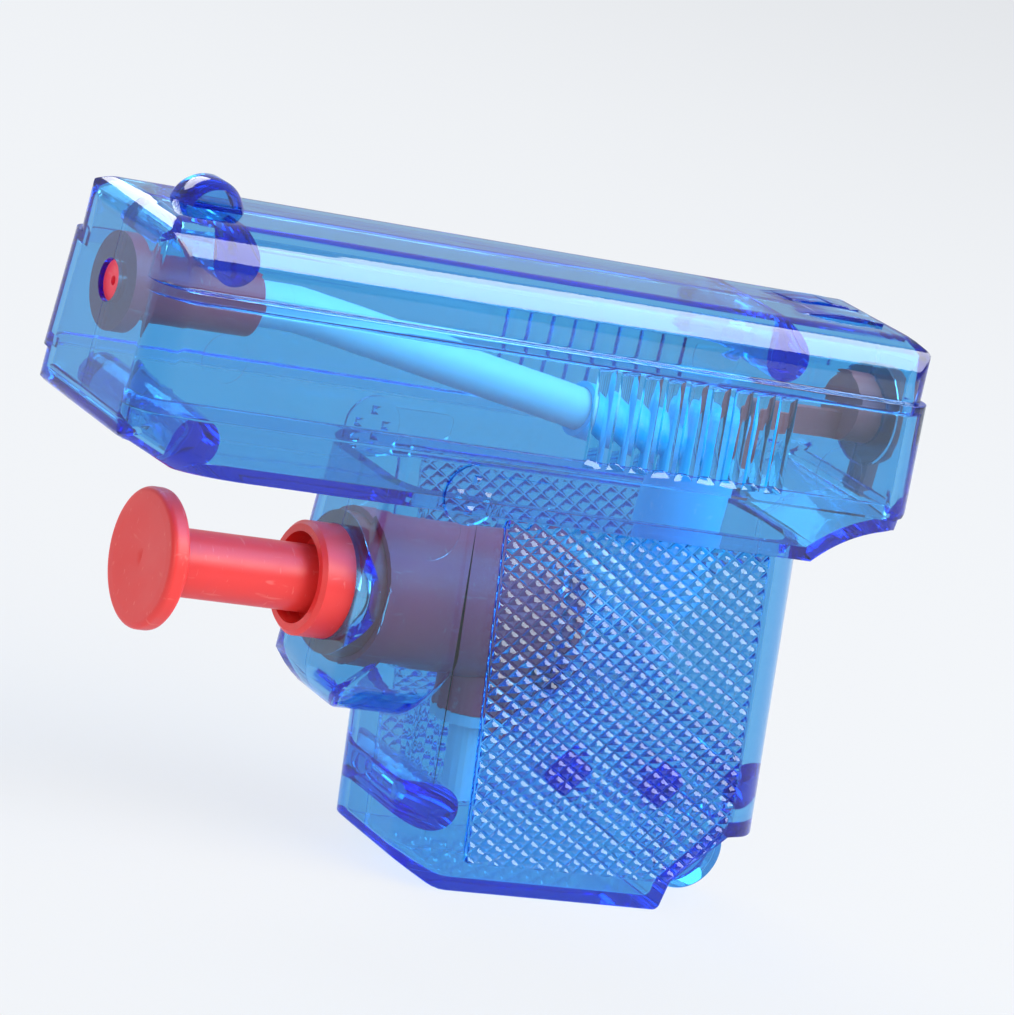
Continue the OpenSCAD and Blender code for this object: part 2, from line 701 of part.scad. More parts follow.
module return_spring() {
    sides = 6;
    n = len(path);
    rings = [for (i = [0:n - 1])
        let (d = path_dir(i), a = unit(cross([0, 0, 1], d)), b = cross(d, a))
        for (k = [0:sides - 1])
            path[i] + wire_d / 2 * (a * cos(360 * k / sides) + b * sin(360 * k / sides))];
    walls = [for (i = [0:n - 2], k = [0:sides - 1])
        let (a = i * sides + k, b = i * sides + (k + 1) % sides)
        each [[a, a + sides, b], [b, a + sides, b + sides]]];
    start = [for (k = [1:sides - 2]) [0, k, k + 1]];
    finish = [for (k = [1:sides - 2]) (n - 1) * sides * [1, 1, 1] + [0, k + 1, k]];
    color(steel) placed() translate([spring_x0, 0, -pump_z]) rotate([0, 90, 0])
        polyhedron(rings, concat(start, walls, finish));
    gaps = [for (i = [0:ring_n - rings_per_coil])
        norm(spring_point(i + rings_per_coil) - spring_point(i)) - wire_d];
    echo(least_gap_between_coils = min(gaps));
}

// Inlet valve body: sleeve in the cylinder's side boss, flange below it, a conical seat for
// the ball and the spigot that carries the suction tube.
module inlet_valve_body() {
    color(milky) placed() inlet_axis() difference() {
        union() {
            translate([0, 0, -valve_foot - 0.5])
                cylinder(h = valve_foot + 0.5 - valve_head, r = valve_r);
            translate([0, 0, -valve_flange])
                cylinder(h = valve_flange - valve_foot - face_gap, r = valve_r + 0.8);
            translate([0, 0, -valve_flange - spigot_len])
                cylinder(h = spigot_len + eps, r = spigot_r);
        }
        translate([0, 0, -valve_flange - spigot_len - 1])
            cylinder(h = spigot_len + 3, r = port_r);
        translate([0, 0, -valve_seat]) cylinder(h = seat_h, r1 = port_r, r2 = cage_r);
        translate([0, 0, -valve_seat + seat_h - eps]) cylinder(h = cage_h + 1, r = cage_r);
    }
}
module inlet_ball() {
    color(steel) placed() inlet_axis()
        translate([0, 0, -valve_seat + ball_rest + ball_gap]) sphere(d = ball_d);
}
module suction_tube() {
    color(milky) placed() inlet_axis()
        translate([0, 0, -valve_flange - suction_len]) difference() {
            cylinder(h = suction_len - face_gap, d = tube_d, $fn = 32);
            translate([0, 0, -1]) cylinder(h = suction_len + 2, d = tube_bore, $fn = 32);
        }
}

// Outlet elbow: level arm in the cylinder's end and an upright cage for the ball, open on
// top so that the ball can be dropped in. The outlet connector closes it.
module outlet_elbow() {
    x0 = cyl_end + 0.4;
    base_z = -pump_z - valve_r;
    color(milky) placed() difference() {
        union() {
            rod_x(x0, cyl_end + socket_len + 0.1, socket_r, -pump_z);
            rod_x(cyl_end + socket_len + face_gap, limb_x, socket_r + 0.4, -pump_z);
            translate([limb_x, 0, base_z]) cylinder(h = cage_top_z - base_z, r = valve_r);
        }
        rod_x(x0 - 1, limb_x, port_r, -pump_z);
        translate([limb_x, 0, -pump_z])
            cylinder(h = outlet_seat_z + pump_z + eps, r = port_r);
        translate([limb_x, 0, outlet_seat_z]) cylinder(h = seat_h, r1 = port_r, r2 = cage_r);
        translate([limb_x, 0, outlet_seat_z + seat_h - eps]) cylinder(h = cage_h, r = cage_r);
    }
}
module outlet_ball() {
    color(steel) placed() translate([limb_x, 0, outlet_seat_z + ball_rest + ball_gap])
        sphere(d = ball_d);
}

// Outlet connector: upright limb pushed over the elbow, its inner shoulder the stop of the
// ball, and a falling sleeve with a socket for the delivery tube.
module outlet_connector() {
    foot_z = cage_top_z - outlet_grip;
    top_r = 1.8;
    limb_r = limb_d / 2;
    lead_h = 1.5;
    gallery_h = 4;
    sleeve_end = (limb_x - fall_x) / cos(tube_fall);
    meet_z = fall_z - (limb_x - fall_x) * tan(tube_fall);
    color(cyan) placed() difference() {
        union() {
            translate([limb_x, 0, 0]) rotate_extrude()
                polygon(concat([[0, foot_z], [limb_r, foot_z]],
                    [for (g = [0:15:90]) [limb_r - top_r + top_r * cos(g),
                        limb_top - top_r + top_r * sin(g)]], [[0, limb_top]]));
            on_fall(sleeve_at) cylinder(h = sleeve_end - sleeve_at, d = sleeve_d);
        }
        translate([limb_x, 0, foot_z - 1])
            cylinder(h = outlet_grip + 1 + face_gap, r = valve_r + seat_gap);
        translate([limb_x, 0, cage_top_z - 1]) cylinder(h = lead_h + 1.5, r = port_r);
        translate([limb_x, 0, cage_top_z + lead_h])
            cylinder(h = meet_z - cage_top_z - lead_h, r = spigot_r);
        on_fall(sleeve_at + sleeve_in - 1)
            cylinder(h = sleeve_end - sleeve_at - sleeve_in + 1, r = spigot_r, $fn = 32);
        on_fall(sleeve_at - 1)
            cylinder(h = sleeve_in + 1, r = tube_d / 2 + seat_gap, $fn = 32);
    }
}

// Filler plug: domed head with a pull tab outside, stem through the rear wall and a strap
// with a cross-bar inside that keeps it from being lost.
module filler_plug() {
    stem_x = plug_seat_x - 3.6;
    dome_r = 1.4;
    strap_t = 1.2;
    strap_low = 3.2;
    bar_t = 2;
    bar_low = 7.6;
    bar_x = stem_x - strap_len - bar_t;
    color(red) placed() union() {
        translate([plug_seat_x, 0, plug_z]) rotate([0, 90, 0]) rotate_extrude()
            polygon(concat([[0, 0], [plug_head_d / 2, 0]],
                [for (g = [0:15:90]) [plug_head_d / 2 - dome_r + dome_r * cos(g),
                    plug_out - dome_r + dome_r * sin(g)]], [[0, plug_out]]));
        rod_x(stem_x, plug_seat_x + eps, plug_d / 2, plug_z);
        translate([plug_seat_x + 1.2, -1.6, plug_z - plug_head_d / 2 - 3.4])
            cube([1.2, 3.2, 4.4]);
        translate([bar_x + 1, -strap_t / 2, plug_z - strap_low])
            cube([stem_x - bar_x, strap_t, 2.8]);
        across(strap_t) polygon(rounded([[bar_x, plug_z - bar_low], [bar_x, plug_z - 0.5],
            [bar_x + bar_t, plug_z - 0.5], [bar_x + bar_t, plug_z - bar_low]],
            [0.95, 0.4, 0, 0.95]));
    }
}

left_shell();
right_shell();
nozzle_barrel();
delivery_tube();
pump_cylinder();
gland_collar();
plunger();
piston_seal();
return_spring();
inlet_valve_body();
inlet_ball();
suction_tube();
outlet_elbow();
outlet_ball();
outlet_connector();
filler_plug();
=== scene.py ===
import math

import bmesh
import bpy
from mathutils import Matrix, Vector
from mathutils.bvhtree import BVHTree


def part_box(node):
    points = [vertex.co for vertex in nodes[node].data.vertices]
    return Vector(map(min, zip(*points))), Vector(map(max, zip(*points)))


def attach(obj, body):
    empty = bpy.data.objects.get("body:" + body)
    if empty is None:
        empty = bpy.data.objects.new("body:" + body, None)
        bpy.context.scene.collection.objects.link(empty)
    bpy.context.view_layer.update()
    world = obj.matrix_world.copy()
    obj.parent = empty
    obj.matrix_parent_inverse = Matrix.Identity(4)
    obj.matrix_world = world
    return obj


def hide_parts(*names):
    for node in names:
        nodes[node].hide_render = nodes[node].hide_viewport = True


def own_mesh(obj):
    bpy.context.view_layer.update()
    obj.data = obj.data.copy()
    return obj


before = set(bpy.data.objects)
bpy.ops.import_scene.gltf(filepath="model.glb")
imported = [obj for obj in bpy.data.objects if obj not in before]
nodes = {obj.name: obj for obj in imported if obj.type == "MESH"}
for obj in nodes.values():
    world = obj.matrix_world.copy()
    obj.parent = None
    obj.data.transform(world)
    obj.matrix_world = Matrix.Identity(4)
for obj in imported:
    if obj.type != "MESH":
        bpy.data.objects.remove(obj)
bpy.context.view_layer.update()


# Clear halves. The left and right half are injection mouldings in clear blue styrene,
# 1.2 mm thick, glued edge to edge; together they are the water tank. Each grip side carries
# a moulded lattice of small pyramids, and the inside keeps the rings of the ejector pins.
# Lengths are millimetres from the muzzle face (x) and the line between slide and frame (z).
half_total_len = 43.9135
slide_len, panel_w, panel_h, panel_draft = 86.0, 23.4, 11.5, 3.0
crown_w, crown_h, crown_rise, shoulder_r = 20.0, 5.9, 0.25, 4.0
rear_lean, rear_top_r, corner_r = 4.0, 3.2, 3.0
frame_w, frame_h, lip_h, lip_run, tang_r = 21.8, 5.4, 3.4, 6.4, 15.2
grip_drop, grip_w, grip_len, grip_start, grip_slope = 43.0, 18.6, 40.2, 35.6, 8.5
grip_corner_r = 4.5
pump_boss_x, pump_boss_w, pump_boss_drop = 30.4, 17.6, 28.4
pump_boss_corner_r, pump_boss_foot_r, pump_z = 3.6, 4.5, -16.5
wall, seat_gap, beyond = 1.2, 0.05, 120.0
crest_z = panel_h + crown_h
nozzle_z = panel_h - 2.5
plug_z = panel_h - 3.5
lean = math.tan(math.radians(rear_lean))
pin_d, pin_len, pin_hole_depth = 2.0, 2.6, 3.2
pin_bosses = [(7.4, -2.4), (7.4, crest_z - 2.9), (67.8, crest_z - 3.6), (43.6, -35.2),
              (57.0, -30.0), (67.6, -30.2), (77.4, -29.6)]


def linked(name, mesh):
    piece = bpy.data.objects.new(name, mesh)
    bpy.context.scene.collection.objects.link(piece)
    return piece


def inset(outline, depth):
    """Draws every edge of a convex outline inwards."""
    points = [Vector(point) for point in outline]
    n = len(points)
    area = sum(points[i].x * points[(i + 1) % n].y - points[i].y * points[(i + 1) % n].x
               for i in range(n))
    side = 1.0 if area > 0 else -1.0
    drawn = []
    for i in range(n):
        before = (points[i] - points[i - 1]).normalized()
        after = (points[(i + 1) % n] - points[i]).normalized()
        inward = side * Vector((-before.y, before.x)), side * Vector((-after.y, after.x))
        drawn.append(points[i] + (inward[0] + inward[1]) * depth / (1 + inward[0].dot(inward[1])))
    return drawn


def rounded(outline, radii):
    """Rounds each corner of an outline, in arcs of about nine degrees a step."""
    points = [Vector(point) for point in outline]
    n = len(points)
    line = []
    for i in range(n):
        if radii[i] < 0.02:
            line.append(points[i])
            continue
        back = (points[i - 1] - points[i]).normalized()
        onward = (points[(i + 1) % n] - points[i]).normalized()
        half = back.angle(onward) / 2
        centre = points[i] + (back + onward).normalized() * radii[i] / math.sin(half)
        first = points[i] + back * radii[i] / math.tan(half) - centre
        last = points[i] + onward * radii[i] / math.tan(half) - centre
        span = math.pi - 2 * half
        if first.x * last.y - first.y * last.x < 0:
            span = -span
        steps = max(1, math.ceil(abs(span) / math.radians(9)))
        for k in range(steps + 1):
            g = span * k / steps
            line.append(centre + Vector((first.x * math.cos(g) - first.y * math.sin(g),
                                         first.x * math.sin(g) + first.y * math.cos(g))))
    return line


def prism(outline, low, high, axis, turn=None):
    """A closed prism over an outline, drawn along the axis X, Y or Z."""
    net = bmesh.new()
    rings = []
    for level in (low, high):
        if axis == "X":
            rings.append([net.verts.new((level, u, v)) for u, v in outline])
        elif axis == "Y":
            rings.append([net.verts.new((u, level, v)) for u, v in outline])
        else:
            rings.append([net.verts.new((u, v, level)) for u, v in outline])
        net.faces.new(rings[-1])
    n = len(outline)
    for i in range(n):
        j = (i + 1) % n
        net.faces.new((rings[0][i], rings[0][j], rings[1][j], rings[1][i]))
    if turn is not None:
        bmesh.ops.transform(net, matrix=turn, verts=net.verts)
    bmesh.ops.recalc_face_normals(net, faces=net.faces)
    mesh = bpy.data.meshes.new("form")
    net.to_mesh(mesh)
    net.free()
    return linked("form", mesh)


def block(low, high):
    outline = [(low[0], low[1]), (high[0], low[1]), (high[0], high[1]), (low[0], high[1])]
    return prism(outline, low[2], high[2], "Z")


def circle(x, z, radius, steps=64):
    return [(x + radius * math.cos(math.tau * k / steps),
             z + radius * math.sin(math.tau * k / steps)) for k in range(steps)]


def rod(start, end, radius, z):
    """A round bar along the length, at the middle of the width."""
    return prism(circle(0.0, z, radius), start, end, "X")


def shaped(piece, tool, operation):
    """Adds, takes away or keeps what the tool's form covers, and drops the tool."""
    step = piece.modifiers.new(operation.lower(), "BOOLEAN")
    step.operation = operation
    step.solver = "MANIFOLD"
    step.object = tool
    graph = bpy.context.evaluated_depsgraph_get()
    made = bpy.data.meshes.new_from_object(piece.evaluated_get(graph))
    piece.modifiers.remove(step)
    piece.data = made
    bpy.data.objects.remove(tool)
    return piece


def common(*forms):
    whole = forms[0]
    for form in forms[1:]:
        shaped(whole, form, "INTERSECT")
    return whole


def joined(*forms):
    whole = forms[0]
    for form in forms[1:]:
        shaped(whole, form, "UNION")
    return whole


def mirrored(form):
    """The same form on the other side of the joint."""
    net = bmesh.new()
    net.from_mesh(form.data)
    bmesh.ops.scale(net, vec=(1, -1, 1), verts=net.verts)
    bmesh.ops.reverse_faces(net, faces=net.faces)
    mesh = bpy.data.meshes.new("form")
    net.to_mesh(mesh)
    net.free()
    return linked("form", mesh)


def folded_places(net):
    """Places where a form passes through itself."""
    tree = BVHTree.FromBMesh(net)
    net.faces.ensure_lookup_table()
    places = []
    for a, b in tree.overlap(tree):
        one, two = net.faces[a], net.faces[b]
        if a < b and not set(one.verts) & set(two.verts):
            places.append((one.calc_center_median() + two.calc_center_median()) / 2)
    return places


def eased(form, width):
    """Rounds the edges as a mould does, and leaves the corners sharp where that would fold."""
    sharp = bmesh.new()
    sharp.from_mesh(form.data)
    bmesh.ops.remove_doubles(sharp, verts=sharp.verts, dist=0.03)
    bmesh.ops.dissolve_limit(sharp, angle_limit=math.radians(0.5), verts=sharp.verts,
                             edges=sharp.edges)
    surface = BVHTree.FromBMesh(sharp)
    left_sharp, tries = [], 3
    for _ in range(tries):
        net = sharp.copy()
        edges = [edge for edge in net.edges
                 if edge.is_manifold and edge.calc_face_angle() > math.radians(24)
                 and all((vert.co - place).length > 0.5
                         for place in left_sharp for vert in edge.verts)]
        bmesh.ops.bevel(net, geom=edges, offset=width, segments=2, profile=0.5,
                        affect="EDGES", clamp_overlap=False)
        faults = folded_places(net)
        for vert in net.verts:
            spot, _, _, gap = surface.find_nearest(vert.co)
            if gap > 0.45 * width:
                faults.append(spot.copy())
        if not faults:
            break
        left_sharp += faults
    sharp.free()
    bmesh.ops.recalc_face_normals(net, faces=net.faces)
    net.to_mesh(form.data)
    net.free()
    return form


# The outer form of slide, frame, grip and pump boss, drawn in by a depth for the hollow.
def leaned_prism(outline):
    turn = (Matrix.Translation((slide_len, 0, 0))
            @ Matrix.Rotation(math.radians(-rear_lean), 4, "Y") @ Matrix.Scale(-1, 4, (1, 0, 0)))
    return prism(outline, -20, 40, "Z", turn)


def panel_side(depth, side):
    half = panel_w / 2 - depth
    plan = rounded([(depth, -half), (beyond, -half), (beyond, beyond), (depth, beyond)],
                   [corner_r - depth / 2, 0, 0, 0])
    form = common(prism(plan, -20, 40, "Z"), leaned_prism(plan))
    form.data.transform(Matrix.Translation((0, -half, 0))
                        @ Matrix.Rotation(math.radians(-panel_draft), 4, "X")
                        @ Matrix.Translation((0, half, 0)))
    if side > 0:
        other = mirrored(form)
        bpy.data.objects.remove(form)
        form = other
    return form


def slide_form(depth):
    foot_r, ridge_r, muzzle_top_r = 2.4, 14.0, 2.6
    panel_line = [(-5, 0), (-5, panel_h), (slide_len - panel_h * lean, panel_h), (slide_len, 0)]
    panels = common(panel_side(depth, -1), panel_side(depth, 1),
                    prism(rounded(inset(panel_line, depth), [0, 0, 0, foot_r - depth / 2]),
                          -panel_w / 2, panel_w / 2, "Y"))
    half = crown_w / 2 - depth
    side = [(0, -1), (0, crest_z), (slide_len - crest_z * lean, crest_z), (slide_len + lean, -1)]
    section = [(-half, -1), (-half, crest_z - crown_rise - depth), (0, crest_z - depth),
               (half, crest_z - crown_rise - depth), (half, -1)]
    shoulder = shoulder_r - depth
    edge_r = corner_r - depth / 2
    plan = rounded([(depth, -half), (beyond, -half), (beyond, half), (depth, half)],
                   [edge_r, 0, 0, edge_r])
    crown = common(
        prism(rounded(inset(side, depth), [0, muzzle_top_r - depth / 2, rear_top_r - depth, 0]),
              -panel_w / 2, panel_w / 2, "Y"),
        prism(rounded(section, [0, shoulder, ridge_r, shoulder, 0]), 0, slide_len + 1, "X"),
        prism(plan, -1, crest_z + 1, "Z"), leaned_prism(plan),
        block((-1, -panel_w, depth), (beyond, panel_w, depth + crest_z)))
    return joined(panels, crown)


def frame_form(depth):
    half = frame_w / 2 - depth
    edge_r = corner_r - depth / 2
    side = [(0, 3), (0, -lip_h), (1.6, -lip_h), (lip_run, -frame_h), (slide_len - 2.5, -frame_h),
            (slide_len, 3)]
    tang = prism(circle(slide_len + 0.5, -tang_r - 1.1, tang_r + depth, 120),
                 -frame_w / 2 - 2, frame_w / 2 + 2, "Y")
    length = shaped(prism(rounded(inset(side, depth), [0, 1.2, 1, 1.6, 0, 0]),
                          -frame_w / 2 - 1, frame_w / 2 + 1, "Y"), tang, "DIFFERENCE")
    plan = rounded([(depth, -half), (slide_len - depth, -half), (slide_len - depth, half),
                    (depth, half)], [edge_r, edge_r, edge_r, edge_r])
    lip_slope = math.atan((frame_h - lip_h) / (lip_run - 1.6))
    turn = (Matrix.Translation((1, 0, depth - lip_h)) @ Matrix.Rotation(lip_slope, 4, "Y"))
    section = rounded([(-half, 0), (half, 0), (half, 60), (-half, 60)], [edge_r, edge_r, 0, 0])
    top = depth + 0.5 if depth > 0 else 0.0
    return common(length, prism(plan, -frame_h - 1, 3, "Z"),
                  block((-1, -frame_w, -frame_h - 1), (beyond, frame_w, top)),
                  prism(section, -20, beyond, "X", turn))


def grip_form(depth):
    half = grip_w / 2 - depth
    edge_r = grip_corner_r - depth / 2
    plan = rounded([(0, -half), (grip_len - 2 * depth, -half), (grip_len - 2 * depth, half),
                    (0, half)], [edge_r, edge_r, edge_r, edge_r])
    turn = (Matrix.Translation((grip_start, 0, 0))
            @ Matrix.Rotation(math.radians(-grip_slope), 4, "Y")
            @ Matrix.Translation((depth, 0, 0)))
    foot = [(-8, 44), (-0.8, 5), (10, 0), (35.6, 0), (35.9, 3), (41.2, 8.3), (52, 8.3), (52, 44)]
    line = rounded(inset(foot, depth), [0, 3, 5, 0.8, 0, 0, 0, 0])
    side = [(x + grip_start, z - grip_drop) for x, z in line]
    return common(prism(plan, -60, 4, "Z", turn), prism(side, -grip_w, grip_w, "Y"))


def pump_boss_form(depth):
    radius = pump_boss_w / 2 - depth
    reach = 14.0
    low = -pump_boss_drop + pump_boss_w / 2
    start = pump_boss_x + depth
    edge_r = pump_boss_corner_r - depth / 2
    barrel = [(radius * math.cos(math.pi * (1 + k / 36)), low + radius * math.sin(
        math.pi * (1 + k / 36))) for k in range(37)] + [(radius, -2), (-radius, -2)]
    plan = rounded([(start, -radius), (start + 2 * reach, -radius), (start + 2 * reach, radius),
                    (start, radius)], [edge_r, 0, 0, edge_r])
    side = rounded([(start, 0), (start, -pump_boss_drop + depth),
                    (start + 2 * reach, -pump_boss_drop + depth), (start + 2 * reach, 0)],
                   [0, pump_boss_foot_r - depth, 0, 0])
    return common(prism(barrel, start, start + reach, "X"),
                  prism(plan, -pump_boss_drop - 1, -1, "Z"),
                  prism(side, -pump_boss_w, pump_boss_w, "Y"))


def body_form(depth):
    return joined(slide_form(depth), frame_form(depth), grip_form(depth), pump_boss_form(depth))


def front_sight():
    """A round blade, cut from a ball."""
    place = (7.8, 0, crest_z - 0.8)
    net = bmesh.new()
    bmesh.ops.create_uvsphere(net, u_segments=48, v_segments=32, radius=3.55)
    bmesh.ops.translate(net, verts=net.verts, vec=place)
    mesh = bpy.data.meshes.new("form")
    net.to_mesh(mesh)
    net.free()
    return common(linked("form", mesh), prism(circle(place[0], place[2], 3.4), -2.3, 2.3, "Y"),
                  block((0, -5, crest_z - 1), (20, 5, crest_z + 5)))


def rear_sight():
    """A low swell along the top, with a narrow notch."""
    radius = 37.0
    swell = common(prism(circle(77.2, crest_z + 0.4 - radius, radius, 240), -4, 4, "Y"),
                   block((69.2, -8, crest_z - 1), (81.2, 8, crest_z + 1)))
    return shaped(swell, block((60, -0.7, crest_z + 0.05), (90, 0.7, crest_z + 2)), "DIFFERENCE")


def tapered(outline, centre, low, high, shrink):
    """A stud whose outer end is smaller than its foot."""
    form = prism(outline, low, high, "Y")
    for vert in form.data.vertices:
        if abs(vert.co.y - high) < 1e-4:
            vert.co.x = centre[0] + (vert.co.x - centre[0]) * shrink
            vert.co.z = centre[1] + (vert.co.z - centre[1]) * shrink
    return form


def lever_relief():
    """The safety lever: round pivot with four studs in a diamond, and a short arm."""
    x, z, foot = 36.65, -3.4, -frame_w / 2
    arm = [(x + u, z + v) for u, v in rounded([(0, -0.9), (8.7, -0.5), (8.7, 2.1), (0, 2.1)],
                                              [0, 0.8, 0.8, 0])]
    relief = [prism(circle(x, z, 2.95), foot - 0.3, foot + 0.5, "Y"),
              prism(arm, foot - 0.2, foot + 0.5, "Y")]
    for k in range(4):
        u = x + 1.5 * math.cos(k * math.pi / 2)
        v = z + 1.5 * math.sin(k * math.pi / 2)
        square = [(u - 0.55, v - 0.55), (u + 0.55, v - 0.55), (u + 0.55, v + 0.55),
                  (u - 0.55, v + 0.55)]
        relief.append(tapered(square, (u, v), foot - 0.2, foot - 0.6, 0.3))
    return joined(*relief)


def check_panel():
    line = [(6.3, 37.6), (12.1, 3), (35.4, 3), (40.4, 8), (40.8, 12), (36.5, 37.6)]
    side = [(x + grip_start, z - grip_drop) for x, z in
            rounded(line, [0.8, 2, 0.3, 0.3, 0.3, 0.8])]
    return eased(prism(side, -grip_w / 2 - 0.3, -grip_w / 2 + 0.2, "Y"), 0.1)


def cocking_groove(count):
    """One round groove with slanted ends, the given number of steps behind the first."""
    radius, depth, low, run_out = 1.5, 0.42, 0.9, 1.2
    first_x, pitch, slant = 48.2, 2.58, 5
    reach = panel_h - low - 0.9
    proud = radius - depth
    half_arc = math.acos(proud / radius) + math.radians(4)
    section = [(radius * math.sin(half_arc * k / 8), radius * math.cos(half_arc * k / 8) - proud)
               for k in range(-8, 9)]
    length = [(-1, -1), (-1, reach + 1), (0, reach), (0.6, reach - run_out), (0.6, run_out),
              (0, 0)]
    groove = common(prism(section, -1, reach + 1, "Z"), prism(length, -radius, radius, "X"))
    groove.data.transform(Matrix.Translation((first_x + pitch * count, -panel_w / 2, 0))
                          @ Matrix.Rotation(math.radians(-panel_draft), 4, "X")
                          @ Matrix.Rotation(math.radians(-slant), 4, "Y")
                          @ Matrix.Translation((0, 0, low)))
    return groove


def inner_features():
    """Locating bosses and the cradle rib behind the pump cylinder."""
    boss_r = 2.4
    rods = [prism(circle(x, z, boss_r), -panel_w / 2, panel_w / 2, "Y") for x, z in pin_bosses]
    rib = block((52.0, -panel_w / 2, pump_z - 5.8), (53.2, panel_w / 2, pump_z + 5.8))
    return shaped(joined(rib, *rods), rod(33.0, 54.6, 7.35, pump_z), "DIFFERENCE")


def whole_body():
    """Both halves in one, before the moulding is parted at the middle."""
    body = joined(eased(body_form(0), 0.25), eased(front_sight(), 0.3), eased(rear_sight(), 0.2))
    shaped(body, eased(body_form(wall), 0.2), "DIFFERENCE")
    joined(body, common(inner_features(), body_form(wall - 0.1)))
    lug_x, lug_r = 77.4, 4.2
    lug = eased(prism(circle(lug_x, lug_r - grip_drop, lug_r), -2.2, 2.2, "Y"), 0.3)
    joined(body, shaped(lug, body_form(wall / 2), "DIFFERENCE"))
    for form in (lever_relief(), check_panel()):
        joined(body, mirrored(form), form)
    for count in range(9):
        groove = cocking_groove(count)
        shaped(body, mirrored(groove), "DIFFERENCE")
        shaped(body, groove, "DIFFERENCE")
    window_r, lug_hole_r = 2.0, 2.0
    collar_r, collar_flange_r, cylinder_flange_r = 5.55, 6.95, 7.55
    cylinder_x, plug_hole_r, plug_head_r = 33.0, 3.35, 5.4
    plug_seat = slide_len - (plug_z + 5.2) * lean - 0.05
    for opening in (rod(-1, wall + 1, window_r, nozzle_z),
                    rod(pump_boss_x - 1, pump_boss_x + wall + 1, collar_r, pump_z),
                    rod(pump_boss_x + wall - 0.1, cylinder_x + 0.5, collar_flange_r, pump_z),
                    rod(cylinder_x, cylinder_x + 2.5, cylinder_flange_r, pump_z),
                    rod(slide_len - 5, slide_len + 1, plug_hole_r, plug_z),
                    rod(plug_seat - 0.05, slide_len + 2, plug_head_r, plug_z),
                    prism(circle(lug_x, lug_r - grip_drop, lug_hole_r), -20, 20, "Y")):
        shaped(body, opening, "DIFFERENCE")
    return body


def lattice_of_pyramids(side):
    """The grip's lattice: rows of blunt pyramids set askew, cut off at the panel's edge."""
    along = Vector((1.106, -0.6))
    upward = Vector((0.82, 1.01))
    centre = Vector((59.9, -22.3))
    foot_y = grip_w / 2 + 0.29
    columns, rows = 40, 36
    net = bmesh.new()
    grid = {}
    for i in range(-columns // 2, columns // 2 + 1):
        for k in range(-rows // 2, rows // 2 + 1):
            point = centre + along * i + upward * k
            grid[i, k] = net.verts.new((point.x, side * foot_y, point.y))
    cells = []
    for i in range(-columns // 2, columns // 2):
        for k in range(-rows // 2, rows // 2):
            corners = [grid[i, k], grid[i + 1, k], grid[i + 1, k + 1], grid[i, k + 1]]
            cells.append(net.faces.new(corners if side < 0 else corners[::-1]))
    rim = [edge for edge in net.edges if edge.is_boundary]
    wall_parts = bmesh.ops.extrude_edge_only(net, edges=rim)["geom"]
    low = [item for item in wall_parts if isinstance(item, bmesh.types.BMVert)]
    bmesh.ops.translate(net, verts=low, vec=Vector((0, -side * 0.35, 0)))
    bmesh.ops.inset_individual(net, faces=cells, thickness=0.07, depth=0.0)
    bmesh.ops.inset_individual(net, faces=cells, thickness=0.22, depth=0.16)
    bmesh.ops.poke(net, faces=cells, offset=0.16)
    bmesh.ops.edgeloop_fill(net, edges=[edge for edge in net.edges if edge.is_boundary])
    bmesh.ops.recalc_face_normals(net, faces=net.faces)
    mesh = bpy.data.meshes.new("lattice")
    net.to_mesh(mesh)
    net.free()
    outline = [(42.2, -5.6), (47.9, -39.8), (70.9, -39.8), (75.75, -34.95), (76.1, -31.0),
               (71.85, -5.6)]
    ends = sorted((side * 9.0, side * 10.6))
    return common(linked("lattice", mesh), prism(outline, ends[0], ends[1], "Y"))


def pin_mark(x, z, radius, inner, lean_degrees, side):
    """The flat disc that an ejector pin leaves on an inner wall, 0.07 mm proud."""
    disc = prism(circle(0, 0, radius, 48), -0.25, 0.25, "Y")
    disc.data.transform(Matrix.Translation((x, side * (inner + 0.18), z))
                        @ Matrix.Rotation(math.radians(side * lean_degrees), 4, "X"))
    return disc


def half_shell(body, side, node_name, name):
    """One half: parted from the whole by the glue line, with its pins or their holes."""
    glue = 0.02
    half = linked(name, body.data.copy())
    ends = sorted((side * glue, side * 40))
    common(half, block((-10, ends[0], -60), (100, ends[1], 40)))
    for x, z in pin_bosses:
        if side < 0:
            shaped(half, prism(circle(x, z, pin_d / 2 + seat_gap, 40), -pin_hole_depth, 1, "Y"),
                   "DIFFERENCE")
        else:
            joined(half, prism(circle(x, z, pin_d / 2, 40), -pin_len, 0.5, "Y"))
    joined(half, lattice_of_pyramids(side))
    for x, z, radius, inner, lean_degrees in ((7.9, 5.8, 2.3, 10.2, 3.0),
                                              (76.2, 3.7, 2.6, 10.3, 3.0),
                                              (59.8, 12.9, 2.6, 8.8, 0.0),
                                              (35.5, -8.2, 2.8, 7.6, 0.0)):
        joined(half, pin_mark(x, z, radius, inner, lean_degrees, side))
    half.data.transform(Matrix.Scale(0.001, 4)
                        @ Matrix.Translation((-half_total_len, 0, grip_drop)))
    half.data.materials.clear()
    half.data.materials.append(styrene)
    form = bmesh.new()
    form.from_mesh(half.data)
    for face in form.faces:
        face.smooth = True
    for edge in form.edges:
        edge.smooth = edge.calc_face_angle(0.0) < math.radians(32)
    form.to_mesh(half.data)
    form.free()
    even = half.modifiers.new("even_normals", "WEIGHTED_NORMAL")
    even.keep_sharp = True
    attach(half, "squirter_body")
    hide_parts(node_name)
    return half


def blank_material(name):
    material = bpy.data.materials.new(name)
    material.use_nodes = True
    tree = material.node_tree
    surface = tree.nodes["Principled BSDF"]
    return material, tree, surface


